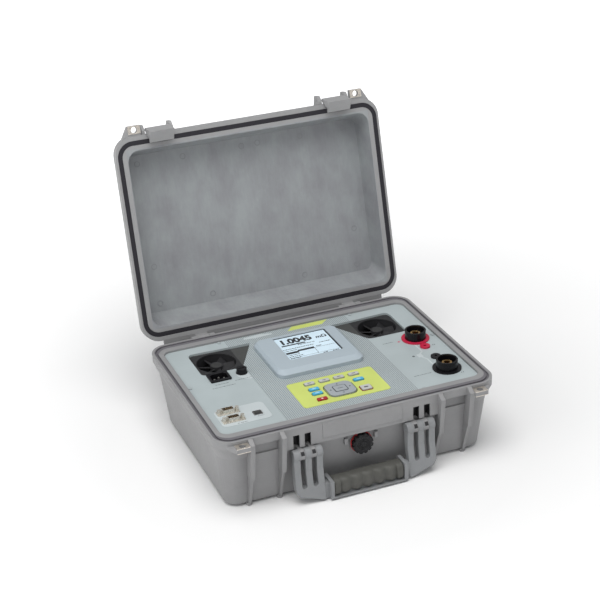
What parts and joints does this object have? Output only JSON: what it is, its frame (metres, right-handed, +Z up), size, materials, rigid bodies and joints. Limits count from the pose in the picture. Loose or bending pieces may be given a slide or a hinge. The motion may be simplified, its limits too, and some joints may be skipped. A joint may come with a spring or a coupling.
{
  "type": "portable micro ohmmeter",
  "caption": "Portable micro ohmmeter built into a latched protector case with a hinged lid, a folding handle, a keypad, a display, fans and current terminals.",
  "frame": {"origin": "centre of the flat bottom of the base", "axes": "+X to the right as seen from the front, +Y to the rear, +Z up"},
  "size_m": [0.4, 0.4481, 0.4099],
  "materials": {
    "case_plastic": "fine-grained moulded grey",
    "seal_rubber": "soft black",
    "steel": "plain",
    "latch_plastic": "smooth moulded light grey",
    "grip_rubber": "ribbed dark grey",
    "aluminium": "plain",
    "red_plastic": "glossy",
    "black_plastic": "satin",
    "panel_paint": "satin pale grey",
    "panel_print": "printed film",
    "housing_plastic": "satin",
    "window_glass": "clear",
    "board": "coated board",
    "keypad_print": "satin film",
    "key_grey": "satin",
    "key_blue": "satin",
    "bright_metal": "plated",
    "brass": "polished",
    "unit_metal": "plain",
    "copper": "plain copper"
  },
  "bodies": {
    "case": {"base_shell": "case_plastic", "hinge_pins": "steel", "lug_plates_base": "steel", "handle_pins": "steel", "valve_body": "aluminium", "valve_ring": "red_plastic", "control_panel": "panel_paint", "panel_band": "panel_print", "panel_screws": "steel", "display_housing": "housing_plastic", "display_glass": "window_glass", "display_module": "board", "keypad_plate": "keypad_print", "fan_tray_left": "black_plastic", "fan_tray_right": "black_plastic", "fan_frame_left": "black_plastic", "fan_frame_right": "black_plastic", "mains_inlet": "black_plastic", "inlet_blades": "steel", "fuse_holder": "black_plastic", "data_patch": "panel_print", "dsub_connectors": "bright_metal", "dsub_standoffs": "bright_metal", "usb_socket": "bright_metal", "terminal_flanges": "red_plastic", "terminal_shrouds": "black_plastic", "terminal_contacts": "brass", "voltage_sockets": "red_plastic", "main_board": "board", "power_unit": "unit_metal", "current_module": "aluminium", "bus_bars": "copper"},
    "lid": {"lid_shell": "case_plastic", "lid_seal": "seal_rubber", "lug_plates_lid": "steel", "latch_pins": "steel"},
    "link_left": {"latch_link_left": "latch_plastic"},
    "link_right": {"latch_link_right": "latch_plastic"},
    "lever_left": {"latch_lever_left": "latch_plastic"},
    "lever_right": {"latch_lever_right": "latch_plastic"},
    "handle": {"handle_frame": "latch_plastic", "handle_grip": "grip_rubber"},
    "valve": {"valve_knob": "black_plastic"},
    "pivot": {"nav_pivot": "black_plastic"},
    "arrow_pad": {"nav_pad": "key_grey"},
    "enter": {"key_enter": "key_grey"},
    "fan_left": {"fan_rotor_left": "black_plastic"},
    "fan_right": {"fan_rotor_right": "black_plastic"},
    "fuse": {"fuse_cap": "black_plastic"},
    "button_f1": {"key_f1": "key_grey"},
    "button_f2": {"key_f2": "key_grey"},
    "button_f3": {"key_f3": "key_grey"},
    "button_f4": {"key_f4": "key_grey"},
    "button_blue_upper": {"key_blue_upper": "key_blue"},
    "button_blue_lower": {"key_blue_lower": "key_blue"},
    "button_stop": {"key_stop": "red_plastic"},
    "button_blue_right": {"key_blue_right": "key_blue"},
    "button_start": {"key_start": "key_grey"}
  },
  "joints": [
    {"name": "lid_hinge", "type": "hinge", "parent": "case", "child": "lid", "pos_m": [0, 0.1552, 0.1032], "axis": [1, 0, 0], "range_deg": [0, 103.5]},
    {"name": "latch_link_left", "type": "hinge", "parent": "lid", "child": "link_left", "pos_m": [-0.134, 0.24538, 0.3983], "axis": [1, 0, 0], "range_deg": [-33, 0]},
    {"name": "latch_link_right", "type": "hinge", "parent": "lid", "child": "link_right", "pos_m": [0.134, 0.24538, 0.3983], "axis": [1, 0, 0], "range_deg": [-33, 0]},
    {"name": "latch_lever_left", "type": "hinge", "parent": "link_left", "child": "lever_left", "pos_m": [-0.134, 0.23489, 0.39876], "axis": [1, 0, 0], "range_deg": [-35, 25]},
    {"name": "latch_lever_right", "type": "hinge", "parent": "link_right", "child": "lever_right", "pos_m": [0.134, 0.23489, 0.39876], "axis": [1, 0, 0], "range_deg": [-35, 25]},
    {"name": "handle_swing", "type": "hinge", "parent": "case", "child": "handle", "pos_m": [0, -0.152, 0.0705], "axis": [-1, 0, 0], "range_deg": [0, 100]},
    {"name": "valve_turn", "type": "hinge", "parent": "case", "child": "valve", "pos_m": [0, -0.14563, 0.062], "axis": [0, -1, 0], "range_deg": [0, 90]},
    {"name": "press_f1", "type": "slide", "parent": "case", "child": "button_f1", "axis": [0, 0, -1], "range_m": [0, 0.0008], "stiffness_N_per_m": 800, "springref_m": -0.0004},
    {"name": "press_f2", "type": "slide", "parent": "case", "child": "button_f2", "axis": [0, 0, -1], "range_m": [0, 0.0008], "stiffness_N_per_m": 800, "springref_m": -0.0004},
    {"name": "press_f3", "type": "slide", "parent": "case", "child": "button_f3", "axis": [0, 0, -1], "range_m": [0, 0.0008], "stiffness_N_per_m": 800, "springref_m": -0.0004},
    {"name": "press_f4", "type": "slide", "parent": "case", "child": "button_f4", "axis": [0, 0, -1], "range_m": [0, 0.0008], "stiffness_N_per_m": 800, "springref_m": -0.0004},
    {"name": "press_blue_upper", "type": "slide", "parent": "case", "child": "button_blue_upper", "axis": [0, 0, -1], "range_m": [0, 0.0008], "stiffness_N_per_m": 800, "springref_m": -0.0004},
    {"name": "press_blue_lower", "type": "slide", "parent": "case", "child": "button_blue_lower", "axis": [0, 0, -1], "range_m": [0, 0.0008], "stiffness_N_per_m": 800, "springref_m": -0.0004},
    {"name": "press_stop", "type": "slide", "parent": "case", "child": "button_stop", "axis": [0, 0, -1], "range_m": [0, 0.0008], "stiffness_N_per_m": 800, "springref_m": -0.0004},
    {"name": "press_blue_right", "type": "slide", "parent": "case", "child": "button_blue_right", "axis": [0, 0, -1], "range_m": [0, 0.0008], "stiffness_N_per_m": 800, "springref_m": -0.0004},
    {"name": "press_start", "type": "slide", "parent": "case", "child": "button_start", "axis": [0, 0, -1], "range_m": [0, 0.0008], "stiffness_N_per_m": 800, "springref_m": -0.0004},
    {"name": "arrow_tilt_x", "type": "hinge", "parent": "case", "child": "pivot", "pos_m": [0, -0.0775, 0.1007], "axis": [1, 0, 0], "range_deg": [-2.5, 2.5], "stiffness_Nm_per_rad": 2},
    {"name": "arrow_tilt_y", "type": "hinge", "parent": "pivot", "child": "arrow_pad", "pos_m": [0, -0.0775, 0.1007], "axis": [0, 1, 0], "range_deg": [-2.5, 2.5], "stiffness_Nm_per_rad": 2},
    {"name": "press_enter", "type": "slide", "parent": "arrow_pad", "child": "enter", "axis": [0, 0, -1], "range_m": [0, 0.0008], "stiffness_N_per_m": 800, "springref_m": -0.0004},
    {"name": "fan_spin_left", "type": "hinge", "parent": "case", "child": "fan_left", "pos_m": [-0.123, 0.0745, 0.095], "axis": [0, 0, 1], "continuous": true},
    {"name": "fan_spin_right", "type": "hinge", "parent": "case", "child": "fan_right", "pos_m": [0.123, 0.0745, 0.095], "axis": [0, 0, 1], "continuous": true},
    {"name": "fuse_cap_turn", "type": "hinge", "parent": "case", "child": "fuse", "pos_m": [-0.1025, 0.0265, 0.108], "axis": [0, 0, 1], "range_deg": [0, 60]}
  ],
  "couplings": [
    {"joint": "latch_link_left", "follows": "lid_hinge", "ratio": -0.3188},
    {"joint": "latch_link_right", "follows": "lid_hinge", "ratio": -0.3188}
  ]
}
